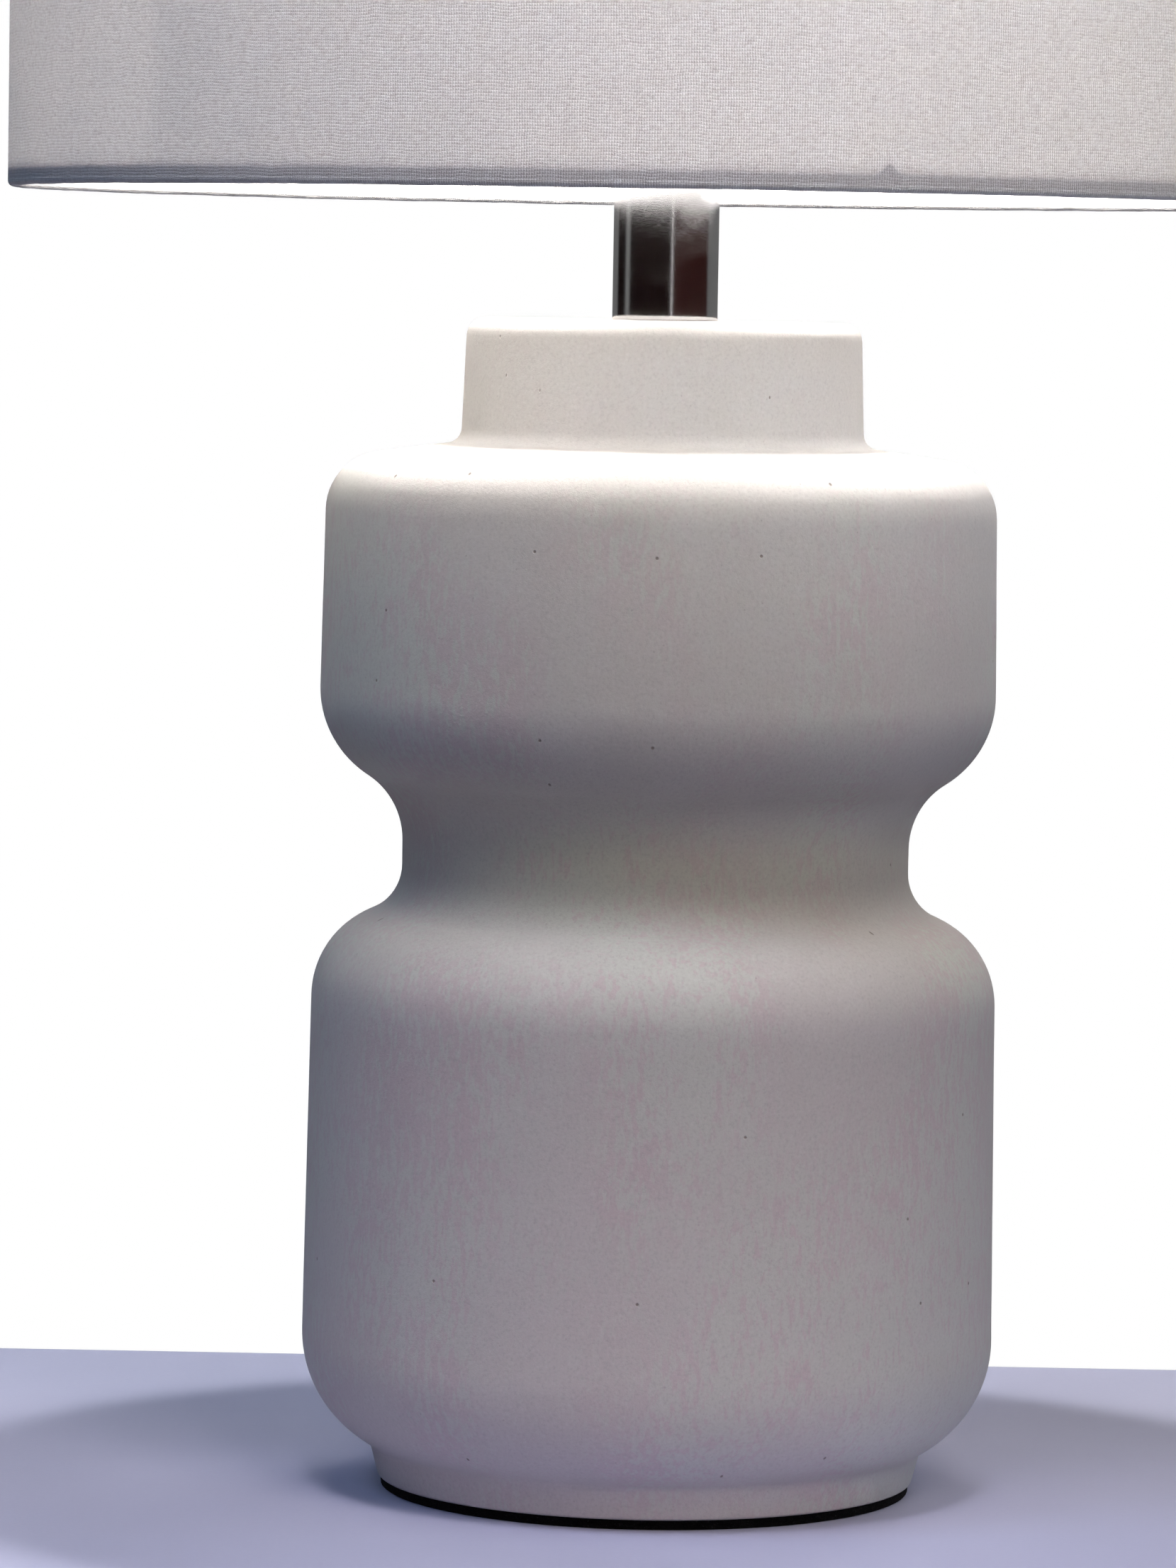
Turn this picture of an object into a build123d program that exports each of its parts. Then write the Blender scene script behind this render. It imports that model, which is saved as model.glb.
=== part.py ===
from build123d import *
import math
import os

os.makedirs("parts", exist_ok=True)

# Table lamp: a waisted ceramic body on a felt pad, a chrome neck, a keyed screw socket with a
# bulb, and a cloth drum shade carried by a harp. Millimetres, +Z up, origin at the centre of
# the pad's underside. The cord inlet is at the back (+Y) and the switch knob at the front (-Y).

# ---------------------------------------------------------------- driving dimensions
PAD_R, PAD_T = 70.9, 2.6

WALL = 5.0                     # ceramic wall
FOOT_R1, FOOT_R = 71.6, 73.9   # foot ring at the pad and at the crease
CREASE_Z = 11.5                # where the foot ring meets the underside of the belly
BELLY_R, BELLY_Z = 92.64, 23.86
LOWER_R, LOWER_Z = 91.2, 146.98
WAIST_R, WAIST_Z1, WAIST_Z2 = 67.6, 157.84, 184.53
UPPER_R, UPPER_Z = 90.26, 199.01
SHOULDER_R, SHOULDER_Z = 89.1, 274.53
COLLAR_R1, COLLAR_Z1 = 53.58, 279.64
COLLAR_R2, COLLAR_Z2 = 52.45, 312.6
BASE_OPENING_R = 56.0          # open underside of the casting, closed by the pad
FLOOR_Z = 16.5                 # top of the ceramic floor inside
COLLAR_HOLE_R = 7.0
WAIST_CUT = 170.0              # the casting is kept as three rings, parted at the waist
COLLAR_CUT = 281.0             # and at the foot of the collar

GROMMET_Z = 46.0
GROMMET_BORE_R = 3.6
GROMMET_R, GROMMET_FLANGE_R = 5.4, 8.0

TUBE_R, TUBE_WALL, TUBE_L = 14.0, 1.25, 50.0
NIPPLE_R, NIPPLE_BORE_R = 5.0, 3.6

SADDLE_T, SADDLE_W = 1.6, 13.0
HARP_X1, HARP_X2 = 29.0, 53.0  # half width at the legs and at the bow
HARP_WIRE_R = 2.0
HARP_TOP_Z = 543.5
FERRULE_R, FERRULE_BORE_R, FERRULE_L = 3.4, 2.06, 17.0

SOCKET_R = 16.5
SWITCH_Z = 398.0
SHAFT_R, SHAFT_BORE_R = 2.0, 2.06

BULB_R, BULB_C = 30.0, 489.0
GLASS_T = 0.8

SHADE_R = 175.0
SHADE_Z1, SHADE_Z2 = 344.9, 564.9
HEM_H, HEM_FLAP = 4.3, 7.0      # hem outside, and its turn inside the ring
RING_WIRE_R = 1.15
ARM_R = 1.6

# ---------------------------------------------------------------- levels that follow from these
FOOT_Z = PAD_T
TUBE_Z1 = COLLAR_Z2
TUBE_Z2 = TUBE_Z1 + TUBE_L
CAP_Z = TUBE_Z2 + 3.0          # top of the neck cap, under the saddle
SADDLE_TOP = CAP_Z + SADDLE_T
SOCKET_Z = SADDLE_TOP
LEG_Z = SADDLE_TOP + 8.8       # where the harp legs meet the saddle pins
SEAT_Z = HARP_TOP_Z + 4.3      # top of the harp seat
HUB_Z1 = SEAT_Z + 0.3
HUB_Z2 = HUB_Z1 + 1.6
RING_R = 172.2                 # shade rings, to the wire's middle
RING_Z1 = SHADE_Z1 + 2.15
RING_Z2 = SHADE_Z2 - 2.15


def inset(points, d):
    """The corners of a polyline moved d to its left."""
    lines = []
    for (x1, y1), (x2, y2) in zip(points, points[1:]):
        n = math.hypot(x2 - x1, y2 - y1)
        ux, uy = (x2 - x1) / n, (y2 - y1) / n
        lines.append((x1 - uy * d, y1 + ux * d, ux, uy))
    out = [lines[0][:2]]
    for (ax, ay, aux, auy), (bx, by, bux, buy) in zip(lines, lines[1:]):
        t = ((bx - ax) * buy - (by - ay) * bux) / (aux * buy - auy * bux)
        out.append((ax + aux * t, ay + auy * t))
    return out


# ---------------------------------------------------------------- foot and body
with BuildPart() as felt_pad:
    Cylinder(PAD_R, PAD_T, align=(Align.CENTER, Align.CENTER, Align.MIN))
    fillet(felt_pad.edges().group_by(Axis.Z)[-1], 0.5)
felt_pad.part.label = "felt_pad"
export_step(felt_pad.part, "parts/felt_pad.step")

side = [
    (FOOT_R, CREASE_Z),
    (BELLY_R, BELLY_Z),
    (LOWER_R, LOWER_Z),
    (WAIST_R, WAIST_Z1),
    (WAIST_R, WAIST_Z2),
    (UPPER_R, UPPER_Z),
    (SHOULDER_R, SHOULDER_Z),
    (COLLAR_R1, COLLAR_Z1),
    (COLLAR_R2, COLLAR_Z2),
]
outside = [(0, FOOT_Z), (FOOT_R1, FOOT_Z)] + side + [(0, COLLAR_Z2)]
outside_radii = [1.2, 4.0, 33.0, 24.6, 13.6, 21.0, 27.3, 15.6, 4.25, 5.0]
hollow = inset(side + [(0, COLLAR_Z2)], WALL)
(u0, v0), (u1, v1) = hollow[:2]
floor_r = u0 + (u1 - u0) * (FLOOR_Z - v0) / (v1 - v0)
inside = [(0, FLOOR_Z), (floor_r, FLOOR_Z)] + hollow[1:] + [(0, COLLAR_Z2 - WALL)]
inside_radii = [1.5, 27.0, 19.5, 18.5, 25.8, 22.0, 10.5, 9.0, 3.0]

with BuildPart() as ceramic_body:
    with BuildSketch(Plane.XZ):
        with BuildLine():
            run = FilletPolyline(*outside, radius=outside_radii)
            Line(run @ 1, run @ 0)
        make_face()
    revolve(axis=Axis.Z)
    with BuildSketch(Plane.XZ):
        with BuildLine():
            run = FilletPolyline(*inside, radius=inside_radii)
            Line(run @ 1, run @ 0)
        make_face()
    revolve(axis=Axis.Z, mode=Mode.SUBTRACT)
    with BuildSketch(Plane.XY.offset(FOOT_Z - 1)):
        Circle(BASE_OPENING_R)
    extrude(amount=FLOOR_Z - FOOT_Z + 2, mode=Mode.SUBTRACT)
    with BuildSketch(Plane.XY.offset(COLLAR_Z2 - WALL - 1)):
        Circle(COLLAR_HOLE_R)
    extrude(amount=WALL + 2, mode=Mode.SUBTRACT)
    with BuildSketch(Plane(origin=(0, 80, GROMMET_Z), x_dir=(1, 0, 0), z_dir=(0, 1, 0))):
        Circle(GROMMET_R + 0.1)
    extrude(amount=20, mode=Mode.SUBTRACT)

with BuildPart() as ceramic_lower:
    add(ceramic_body.part)
    split(bisect_by=Plane.XY.offset(WAIST_CUT), keep=Keep.BOTTOM)
ceramic_lower.part.label = "ceramic_lower"
export_step(ceramic_lower.part, "parts/ceramic_lower.step")

with BuildPart() as ceramic_upper:
    add(ceramic_body.part)
    split(bisect_by=Plane.XY.offset(WAIST_CUT), keep=Keep.TOP)
    split(bisect_by=Plane.XY.offset(COLLAR_CUT), keep=Keep.BOTTOM)
ceramic_upper.part.label = "ceramic_upper"
export_step(ceramic_upper.part, "parts/ceramic_upper.step")

with BuildPart() as ceramic_collar:
    add(ceramic_body.part)
    split(bisect_by=Plane.XY.offset(COLLAR_CUT), keep=Keep.TOP)
ceramic_collar.part.label = "ceramic_collar"
export_step(ceramic_collar.part, "parts/ceramic_collar.step")

# cord inlet bush at the back of the belly
with BuildPart() as cord_grommet:
    with BuildSketch(Plane(origin=(0, 84.0, GROMMET_Z), x_dir=(1, 0, 0), z_dir=(0, 1, 0))):
        Circle(GROMMET_R)
    extrude(amount=8.45)
    with BuildSketch(Plane(origin=(0, 92.45, GROMMET_Z), x_dir=(1, 0, 0), z_dir=(0, 1, 0))):
        Circle(GROMMET_FLANGE_R)
    extrude(amount=1.8)
    fillet(cord_grommet.edges().sort_by(Axis.Y)[-1], 0.9)
    with BuildSketch(Plane(origin=(0, 80.0, GROMMET_Z), x_dir=(1, 0, 0), z_dir=(0, 1, 0))):
        Circle(GROMMET_BORE_R)
    extrude(amount=20, mode=Mode.SUBTRACT)
cord_grommet.part.label = "cord_grommet"
export_step(cord_grommet.part, "parts/cord_grommet.step")

# ---------------------------------------------------------------- clamp in the collar and neck
with BuildPart() as rubber_washer:
    with BuildSketch(Plane.XY.offset(COLLAR_Z2 - WALL - 2.0)):
        Circle(16.0)
        Circle(5.2, mode=Mode.SUBTRACT)
    extrude(amount=2.0)
rubber_washer.part.label = "rubber_washer"
export_step(rubber_washer.part, "parts/rubber_washer.step")

with BuildPart() as steel_washer:
    with BuildSketch(Plane.XY.offset(COLLAR_Z2 - WALL - 3.6)):
        Circle(15.0)
        Circle(5.2, mode=Mode.SUBTRACT)
    extrude(amount=1.6)
    chamfer(steel_washer.edges().group_by(Axis.Z)[0].sort_by(SortBy.LENGTH)[-1], 0.4)
steel_washer.part.label = "steel_washer"
export_step(steel_washer.part, "parts/steel_washer.step")

with BuildPart() as hex_nut:
    with BuildSketch(Plane.XY.offset(COLLAR_Z2 - WALL - 3.6 - 5.5)):
        RegularPolygon(radius=7.5, side_count=6, major_radius=False)
        Circle(NIPPLE_R + 0.05, mode=Mode.SUBTRACT)
    extrude(amount=5.5)
hex_nut.part.label = "hex_nut"
export_step(hex_nut.part, "parts/hex_nut.step")

with BuildPart() as threaded_nipple:
    with BuildSketch(Plane.XY.offset(294.0)):
        Circle(NIPPLE_R)
        Circle(NIPPLE_BORE_R, mode=Mode.SUBTRACT)
    extrude(amount=376.0 - 294.0)
    chamfer(threaded_nipple.edges().filter_by(GeomType.CIRCLE).sort_by(SortBy.RADIUS)[-2:], 0.6)
threaded_nipple.part.label = "threaded_nipple"
export_step(threaded_nipple.part, "parts/threaded_nipple.step")

with BuildPart() as neck_lower_bush:
    with BuildSketch(Plane.XY.offset(TUBE_Z1)):
        Circle(TUBE_R - TUBE_WALL - 0.1)
    extrude(amount=4.0)
    with BuildSketch(Plane.XY.offset(TUBE_Z1 - WALL + 0.2)):
        Circle(COLLAR_HOLE_R - 0.2)
    extrude(amount=WALL - 0.2)
    with BuildSketch(Plane.XY.offset(TUBE_Z1 - WALL)):
        Circle(NIPPLE_R + 0.1)
    extrude(amount=WALL + 6, mode=Mode.SUBTRACT)
neck_lower_bush.part.label = "neck_lower_bush"
export_step(neck_lower_bush.part, "parts/neck_lower_bush.step")

with BuildPart() as neck_tube:
    with BuildSketch(Plane.XY.offset(TUBE_Z1)):
        Circle(TUBE_R)
        Circle(TUBE_R - TUBE_WALL, mode=Mode.SUBTRACT)
    extrude(amount=TUBE_L)
    chamfer(neck_tube.edges().filter_by(GeomType.CIRCLE).sort_by(SortBy.RADIUS)[-2:], 0.3)
neck_tube.part.label = "neck_tube"
export_step(neck_tube.part, "parts/neck_tube.step")

with BuildPart() as neck_top_cap:
    with BuildSketch(Plane.XZ):
        with BuildLine():
            Polyline(
                (NIPPLE_R + 0.1, TUBE_Z2 - 5.0),
                (TUBE_R - TUBE_WALL - 0.1, TUBE_Z2 - 5.0),
                (TUBE_R - TUBE_WALL - 0.1, TUBE_Z2),
                (TUBE_R + 1.5, TUBE_Z2),
                (TUBE_R + 1.5, CAP_Z - 1.2),
                (TUBE_R + 0.3, CAP_Z),
                (NIPPLE_R + 0.1, CAP_Z),
                close=True,
            )
        make_face()
    revolve(axis=Axis.Z)
neck_top_cap.part.label = "neck_top_cap"
export_step(neck_top_cap.part, "parts/neck_top_cap.step")

# ---------------------------------------------------------------- harp
with BuildPart() as harp_saddle:
    with BuildSketch(Plane.XY.offset(CAP_Z)):
        SlotOverall(2 * (HARP_X1 + 6.5), SADDLE_W)
        Circle(NIPPLE_R + 0.2, mode=Mode.SUBTRACT)
    extrude(amount=SADDLE_T)
    with BuildSketch(Plane.XY.offset(SADDLE_TOP)):
        with Locations((HARP_X1, 0), (-HARP_X1, 0)):
            Circle(HARP_WIRE_R)
    extrude(amount=LEG_Z - SADDLE_TOP)
harp_saddle.part.label = "harp_saddle"
export_step(harp_saddle.part, "parts/harp_saddle.step")

with BuildPart() as harp_wire:
    with BuildLine(Plane.XZ) as bow:
        FilletPolyline(
            (HARP_X1, LEG_Z),
            (HARP_X1, 414.0),
            (HARP_X2, 446.0),
            (HARP_X2, HARP_TOP_Z),
            (-HARP_X2, HARP_TOP_Z),
            (-HARP_X2, 446.0),
            (-HARP_X1, 414.0),
            (-HARP_X1, LEG_Z),
            radius=[24.0, 24.0, 38.0, 38.0, 24.0, 24.0],
        )
    with BuildSketch(Plane(origin=bow.line @ 0, x_dir=(1, 0, 0), z_dir=bow.line % 0)):
        Circle(HARP_WIRE_R)
    sweep(path=bow.line)
harp_wire.part.label = "harp_wire"
export_step(harp_wire.part, "parts/harp_wire.step")

# seat and stud riveted round the top of the bow
with BuildPart() as harp_seat:
    with BuildSketch(Plane.XY.offset(HARP_TOP_Z - 3.6)):
        Circle(4.6)
    extrude(amount=3.6 + 4.3)
    with BuildSketch(Plane.XY.offset(SEAT_Z - 1.6)):
        Circle(9.0)
    extrude(amount=1.6)
    with BuildSketch(Plane.XY.offset(SEAT_Z)):
        Circle(3.1)
    extrude(amount=14.2)
    chamfer(harp_seat.edges().sort_by(Axis.Z)[-1], 0.5)
    with BuildSketch(Plane(origin=(-10, 0, HARP_TOP_Z), x_dir=(0, 1, 0), z_dir=(1, 0, 0))):
        Circle(HARP_WIRE_R + 0.03)
    extrude(amount=20, mode=Mode.SUBTRACT)
harp_seat.part.label = "harp_seat"
export_step(harp_seat.part, "parts/harp_seat.step")

with BuildPart() as ferrule_right:
    with BuildSketch(Plane.XZ):
        with BuildLine():
            z1, z2 = SADDLE_TOP + 0.3, SADDLE_TOP + 0.3 + FERRULE_L
            Polyline(
                (HARP_X1 + FERRULE_BORE_R, z1),
                (HARP_X1 + FERRULE_R + 0.5, z1),
                (HARP_X1 + FERRULE_R + 0.5, z1 + 2.0),
                (HARP_X1 + FERRULE_R, z1 + 2.6),
                (HARP_X1 + FERRULE_R, z2 - 0.6),
                (HARP_X1 + FERRULE_R - 0.6, z2),
                (HARP_X1 + FERRULE_BORE_R, z2),
                close=True,
            )
        make_face()
    revolve(axis=Axis((HARP_X1, 0, 0), (0, 0, 1)))
ferrule_right.part.label = "ferrule_right"
export_step(ferrule_right.part, "parts/ferrule_right.step")

with BuildPart() as ferrule_left:
    add(ferrule_right.part)
    mirror(about=Plane.YZ, mode=Mode.REPLACE)
ferrule_left.part.label = "ferrule_left"
export_step(ferrule_left.part, "parts/ferrule_left.step")

with BuildPart() as finial:
    f1 = HUB_Z2 + 0.3
    with BuildSketch(Plane.XZ):
        with BuildLine():
            a = Polyline(
                (0, f1), (8.0, f1), (8.0, f1 + 1.6), (5.2, f1 + 3.2), (4.6, f1 + 12.0), (6.6, f1 + 13.6),
                (6.6, f1 + 14.8), (5.0, f1 + 22.0 - math.sqrt(7.6**2 - 5.0**2)),
            )
            b = ThreePointArc(a @ 1, (7.6, f1 + 22.0), (0, f1 + 29.6))
            Line(b @ 1, a @ 0)
        make_face()
    revolve(axis=Axis.Z)
    with BuildSketch(Plane.XY.offset(f1 - 1)):
        Circle(3.16)
    extrude(amount=14.2, mode=Mode.SUBTRACT)
finial.part.label = "finial"
export_step(finial.part, "parts/finial.step")

# ---------------------------------------------------------------- socket
with BuildPart() as socket_cap:
    s = SOCKET_Z
    with BuildSketch(Plane.XZ):
        with BuildLine():
            Polyline(
                (NIPPLE_R + 0.05, s), (8.5, s), (8.5, s + 4.0), (10.5, s + 6.0), (14.5, s + 9.0),
                (16.6, s + 12.0), (17.5, s + 15.5), (17.5, s + 23.8), (16.6, s + 23.8), (16.6, s + 15.8),
                (15.7, s + 12.6), (13.8, s + 9.9), (9.9, s + 7.0), (8.3, s + 7.0), (8.3, s + 9.8),
                (NIPPLE_R + 0.05, s + 9.8), close=True,
            )
        make_face()
    revolve(axis=Axis.Z)
    with BuildSketch(Plane(origin=(0, 4.0, s + 2.0), x_dir=(1, 0, 0), z_dir=(0, 1, 0))):
        Circle(1.55)
    extrude(amount=6, mode=Mode.SUBTRACT)
socket_cap.part.label = "socket_cap"
export_step(socket_cap.part, "parts/socket_cap.step")

with BuildPart() as cap_set_screw:
    with BuildSketch(Plane(origin=(0, 5.2, SOCKET_Z + 2.0), x_dir=(1, 0, 0), z_dir=(0, 1, 0))):
        Circle(1.5)
    extrude(amount=4.3)
    with BuildSketch(Plane(origin=(0, 8.7, SOCKET_Z + 2.0), x_dir=(1, 0, 0), z_dir=(0, 1, 0))):
        Rectangle(0.6, 4)
    extrude(amount=2, mode=Mode.SUBTRACT)
cap_set_screw.part.label = "cap_set_screw"
export_step(cap_set_screw.part, "parts/cap_set_screw.step")

with BuildPart() as socket_shell:
    with BuildSketch(Plane.XZ):
        with BuildLine():
            Polyline(
                (16.0, 385.0), (SOCKET_R, 385.0), (SOCKET_R, 423.0), (17.1, 424.0), (17.1, 426.0),
                (SOCKET_R, 427.0), (SOCKET_R, 432.0), (15.0, 432.0), (15.0, 431.3), (16.0, 431.3), close=True,
            )
        make_face()
    revolve(axis=Axis.Z)
    with BuildSketch(Plane(origin=(0, -10.0, SWITCH_Z), x_dir=(1, 0, 0), z_dir=(0, -1, 0))):
        Circle(3.2)
    extrude(amount=10, mode=Mode.SUBTRACT)
socket_shell.part.label = "socket_shell"
export_step(socket_shell.part, "parts/socket_shell.step")

with BuildPart() as socket_liner:
    with BuildSketch(Plane.XY.offset(386.0)):
        Circle(15.9)
        Circle(15.3, mode=Mode.SUBTRACT)
    extrude(amount=431.0 - 386.0)
    with BuildSketch(Plane(origin=(0, -10.0, SWITCH_Z), x_dir=(1, 0, 0), z_dir=(0, -1, 0))):
        Circle(3.6)
    extrude(amount=10, mode=Mode.SUBTRACT)
socket_liner.part.label = "socket_liner"
export_step(socket_liner.part, "parts/socket_liner.step")

# moulded core: slot for the switch cam, bore for its shaft, side pockets for the terminals
with BuildPart() as socket_core:
    with BuildSketch(Plane.XY.offset(386.0)):
        Circle(15.25)
    extrude(amount=408.0 - 386.0)
    with BuildSketch(Plane.XY.offset(385.0)):
        with Locations((0, -4.0)):
            Rectangle(13.0, 4.8)
    extrude(amount=20.0, mode=Mode.SUBTRACT)
    with BuildSketch(Plane(origin=(0, 5.0, SWITCH_Z), x_dir=(1, 0, 0), z_dir=(0, -1, 0))):
        Circle(SHAFT_BORE_R)
    extrude(amount=25, mode=Mode.SUBTRACT)
    with BuildSketch(Plane.XY.offset(385.0)):
        with Locations((13.5, 0), (-13.5, 0)):
            Rectangle(6.0, 9.0)
    extrude(amount=13.0, mode=Mode.SUBTRACT)
socket_core.part.label = "socket_core"
export_step(socket_core.part, "parts/socket_core.step")

with BuildPart() as terminal_screws:
    for sx in (1, -1):
        with BuildSketch(Plane(origin=(sx * 10.5, 0, 392.0), x_dir=(0, 1, 0), z_dir=(sx, 0, 0))):
            Circle(1.4)
        extrude(amount=1.6)
        with BuildSketch(Plane(origin=(sx * 12.1, 0, 392.0), x_dir=(0, 1, 0), z_dir=(sx, 0, 0))):
            Circle(3.0)
        extrude(amount=1.8)
        with BuildSketch(Plane(origin=(sx * 13.2, 0, 392.0), x_dir=(0, 1, 0), z_dir=(sx, 0, 0))):
            Rectangle(0.8, 8.0)
        extrude(amount=2.0, mode=Mode.SUBTRACT)
terminal_screws.part.label = "terminal_screws"
export_step(terminal_screws.part, "parts/terminal_screws.step")

with BuildPart() as screw_shell:
    with BuildSketch(Plane.XZ):
        with BuildLine():
            out, inn = [], []
            for k in range(7):
                z = 408.0 + 3.63 * k
                if z + 3.63 > 431.0:
                    break
                out += [(14.1, z), (14.1, z + 0.9), (14.7, z + 1.5), (14.7, z + 2.4), (14.1, z + 3.0)]
                inn += [(13.6, z), (13.6, z + 0.9), (14.2, z + 1.5), (14.2, z + 2.4), (13.6, z + 3.0)]
            out.append((14.1, 431.0))
            inn.append((13.6, 431.0))
            Polyline(*(inn + out[::-1]), close=True)
        make_face()
    revolve(axis=Axis.Z)
screw_shell.part.label = "screw_shell"
export_step(screw_shell.part, "parts/screw_shell.step")

with BuildPart() as centre_contact:
    with BuildSketch(Plane.XZ):
        with BuildLine():
            Polyline((0, 408.0), (5.0, 408.0), (5.0, 408.6), (3.0, 409.0), (2.0, 409.6), (0, 409.6), close=True)
        make_face()
    revolve(axis=Axis.Z)
centre_contact.part.label = "centre_contact"
export_step(centre_contact.part, "parts/centre_contact.step")

# ---------------------------------------------------------------- switch
with BuildPart() as switch_shaft:
    with BuildSketch(Plane(origin=(0, 4.6, SWITCH_Z), x_dir=(1, 0, 0), z_dir=(0, -1, 0))):
        Circle(SHAFT_R)
    extrude(amount=36.6)
switch_shaft.part.label = "switch_shaft"
export_step(switch_shaft.part, "parts/switch_shaft.step")

with BuildPart() as switch_cam:
    with BuildSketch(Plane(origin=(0, -2.4, SWITCH_Z), x_dir=(1, 0, 0), z_dir=(0, -1, 0))):
        Rectangle(7.4, 7.4)
        Circle(SHAFT_R, mode=Mode.SUBTRACT)
    extrude(amount=3.2)
    fillet(switch_cam.edges().filter_by(Axis.Y), 1.0)
switch_cam.part.label = "switch_cam"
export_step(switch_cam.part, "parts/switch_cam.step")

with BuildPart() as switch_knob:
    with BuildSketch(Plane(origin=(0, -23.0, SWITCH_Z), x_dir=(1, 0, 0), z_dir=(0, -1, 0))):
        Circle(6.6)
        with PolarLocations(7.2, 16):
            Circle(1.0, mode=Mode.SUBTRACT)
    extrude(amount=13.0)
    with BuildSketch(Plane(origin=(0, -20.0, SWITCH_Z), x_dir=(1, 0, 0), z_dir=(0, -1, 0))):
        Circle(3.6)
    extrude(amount=3.0)
    with BuildSketch(Plane(origin=(0, -19.0, SWITCH_Z), x_dir=(1, 0, 0), z_dir=(0, -1, 0))):
        Circle(SHAFT_R)
    extrude(amount=13.0, mode=Mode.SUBTRACT)
switch_knob.part.label = "switch_knob"
export_step(switch_knob.part, "parts/switch_knob.step")

# ---------------------------------------------------------------- bulb
NECK_R = 13.3
NECK_Z = 443.0
neck_arc_r = (NECK_R**2 + (BULB_C - NECK_Z) ** 2 - BULB_R**2) / (2 * (BULB_R - NECK_R))
acx = NECK_R + neck_arc_r
dist = math.hypot(acx, BULB_C - NECK_Z)
tx, tz = acx / dist, (NECK_Z - BULB_C) / dist
mid = math.radians(180 - math.degrees(math.asin((BULB_C - NECK_Z + BULB_R * tz) / neck_arc_r)) / 2)

with BuildPart() as bulb_globe:
    with BuildSketch(Plane.XZ):
        with BuildLine():
            ro, ri = BULB_R, BULB_R - GLASS_T
            no, ni = neck_arc_r, neck_arc_r + GLASS_T
            Line((acx - no, 435.0), (acx - no, NECK_Z))
            ThreePointArc(
                (acx - no, NECK_Z),
                (acx + no * math.cos(mid), NECK_Z + no * math.sin(mid)),
                (ro * tx, BULB_C + ro * tz),
            )
            ThreePointArc((ro * tx, BULB_C + ro * tz), (ro * 0.98, BULB_C + ro * math.sqrt(1 - 0.98**2)), (0, BULB_C + ro))
            Line((0, BULB_C + ro), (0, BULB_C + ri))
            ThreePointArc((0, BULB_C + ri), (ri * 0.98, BULB_C + ri * math.sqrt(1 - 0.98**2)), (ri * tx, BULB_C + ri * tz))
            ThreePointArc(
                (ri * tx, BULB_C + ri * tz),
                (acx + ni * math.cos(mid), NECK_Z + ni * math.sin(mid)),
                (acx - ni, NECK_Z),
            )
            Line((acx - ni, NECK_Z), (acx - ni, 435.0))
            Line((acx - ni, 435.0), (acx - no, 435.0))
        make_face()
    revolve(axis=Axis.Z)
bulb_globe.part.label = "bulb_globe"
export_step(bulb_globe.part, "parts/bulb_globe.step")

with BuildPart() as bulb_cap:
    with BuildSketch(Plane.XZ):
        with BuildLine():
            outer, inner = [], []
            for k in range(5):
                z = 413.6 + 3.63 * k
                outer += [(12.4, z), (12.4, z + 0.9), (13.15, z + 1.5), (13.15, z + 2.4), (12.4, z + 3.0)]
                inner += [(11.9, z), (11.9, z + 0.9), (12.65, z + 1.5), (12.65, z + 2.4), (11.9, z + 3.0)]
            outer += [(12.4, 433.2), (13.9, 434.6), (13.9, 440.0)]
            inner += [(11.9, 433.4), (13.35, 434.8), (13.35, 440.0)]
            Polyline(*(inner + outer[::-1]), close=True)
        make_face()
    revolve(axis=Axis.Z)
bulb_cap.part.label = "bulb_cap"
export_step(bulb_cap.part, "parts/bulb_cap.step")

with BuildPart() as bulb_insulator:
    with BuildSketch(Plane.XZ):
        with BuildLine():
            Polyline((0, 411.0), (5.0, 411.0), (11.8, 413.6), (11.8, 415.0), (0, 415.0), close=True)
        make_face()
    revolve(axis=Axis.Z)
bulb_insulator.part.label = "bulb_insulator"
export_step(bulb_insulator.part, "parts/bulb_insulator.step")

with BuildPart() as bulb_contact:
    with BuildSketch(Plane.XZ):
        with BuildLine():
            Polyline((0, 410.0), (2.6, 410.0), (4.4, 410.6), (4.4, 411.0), (0, 411.0), close=True)
        make_face()
    revolve(axis=Axis.Z)
bulb_contact.part.label = "bulb_contact"
export_step(bulb_contact.part, "parts/bulb_contact.step")

with BuildPart() as bulb_stem:
    with BuildSketch(Plane.XZ):
        with BuildLine():
            Polyline(
                (0, 436.0), (12.3, 436.0), (12.3, 437.2), (4.5, 443.0), (3.4, 466.0), (1.2, 468.0), (1.2, 504.0),
                (0, 505.0), close=True,
            )
        make_face()
    revolve(axis=Axis.Z)
bulb_stem.part.label = "bulb_stem"
export_step(bulb_stem.part, "parts/bulb_stem.step")

with BuildPart() as bulb_filaments:
    with BuildSketch(Plane.XY.offset(470.0)):
        with PolarLocations(8.0, 4):
            Circle(0.9)
    extrude(amount=32.0)
    with BuildSketch(Plane.XY.offset(469.2)):
        Circle(9.2)
        Circle(1.4, mode=Mode.SUBTRACT)
    extrude(amount=0.8)
    with BuildSketch(Plane.XY.offset(502.0)):
        Circle(9.2)
        Circle(1.4, mode=Mode.SUBTRACT)
    extrude(amount=0.8)
bulb_filaments.part.label = "bulb_filaments"
export_step(bulb_filaments.part, "parts/bulb_filaments.step")

# ---------------------------------------------------------------- shade
with BuildPart() as shade_liner:
    with BuildSketch(Plane.XY.offset(SHADE_Z1 + 0.6)):
        Circle(SHADE_R - 1.0)
        Circle(SHADE_R - 1.6, mode=Mode.SUBTRACT)
    extrude(amount=SHADE_Z2 - SHADE_Z1 - 1.2)
shade_liner.part.label = "shade_liner"
export_step(shade_liner.part, "parts/shade_liner.step")

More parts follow.
